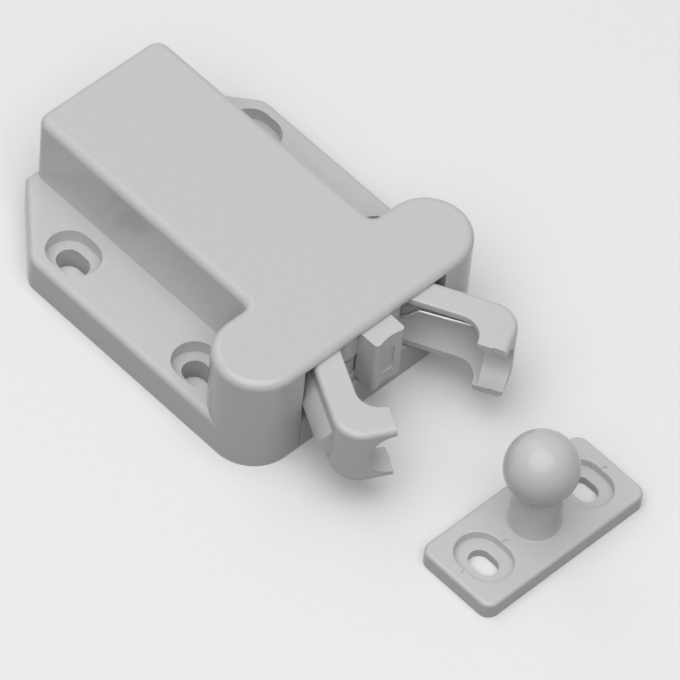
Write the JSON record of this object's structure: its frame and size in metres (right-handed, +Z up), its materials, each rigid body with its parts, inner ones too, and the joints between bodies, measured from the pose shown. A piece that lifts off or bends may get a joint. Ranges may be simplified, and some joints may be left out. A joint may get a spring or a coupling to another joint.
{
  "type": "cupboard catch latch",
  "caption": "Push-to-open cupboard catch: spring-opened jaws on a sprung slide close round the ball of a separate screw-on door strike.",
  "frame": {"origin": "on the mounting underside, midway between the four screw slots of the housing", "axes": "+X across the catch to the right as seen from the mouth, +Y from the mouth to the closed rear end, +Z up away from the mounting face"},
  "size_m": [0.0466, 0.0984, 0.0206],
  "materials": {
    "white_shell": "glossy moulded plastic, white",
    "white_inner": "smooth low-friction moulded plastic, warm white",
    "steel_pin": "ground steel pin",
    "spring_wire": "drawn bright spring wire"
  },
  "bodies": {
    "base": {"housing": "white_shell", "bottom_cover": "white_inner", "main_spring": "spring_wire", "strike": "white_shell"},
    "slide": {"slider": "white_inner", "left_pivot_pin": "steel_pin", "right_pivot_pin": "steel_pin"},
    "left_grip": {"left_jaw": "white_inner", "left_torsion_spring": "spring_wire"},
    "right_grip": {"right_jaw": "white_inner", "right_torsion_spring": "spring_wire"},
    "follower": {"latch_pin": "spring_wire"}
  },
  "joints": [
    {"name": "slider_slide", "type": "slide", "parent": "base", "child": "slide", "axis": [0, 1, 0], "range_m": [0, 0.0085], "stiffness_N_per_m": 300, "springref_m": -0.01, "deforming": ["main_spring"]},
    {"name": "left_jaw_hinge", "type": "hinge", "parent": "slide", "child": "left_grip", "pos_m": [-0.004, -0.0264, 0.01153], "axis": [0, 0, 1], "range_deg": [0, 27], "deforming": ["left_torsion_spring"]},
    {"name": "right_jaw_hinge", "type": "hinge", "parent": "slide", "child": "right_grip", "pos_m": [0.004, -0.0264, 0.01153], "axis": [0, 0, 1], "range_deg": [-27, 0], "deforming": ["right_torsion_spring"]},
    {"name": "follower_swing", "type": "hinge", "parent": "base", "child": "follower", "pos_m": [0, 0.0176, 0.0046], "axis": [0, 0, 1], "range_deg": [0, 10], "stiffness_Nm_per_rad": 0.002}
  ],
  "couplings": [
    {"joint": "left_jaw_hinge", "follows": "slider_slide", "rad_per_m": 55.4},
    {"joint": "right_jaw_hinge", "follows": "slider_slide", "rad_per_m": -55.4}
  ]
}
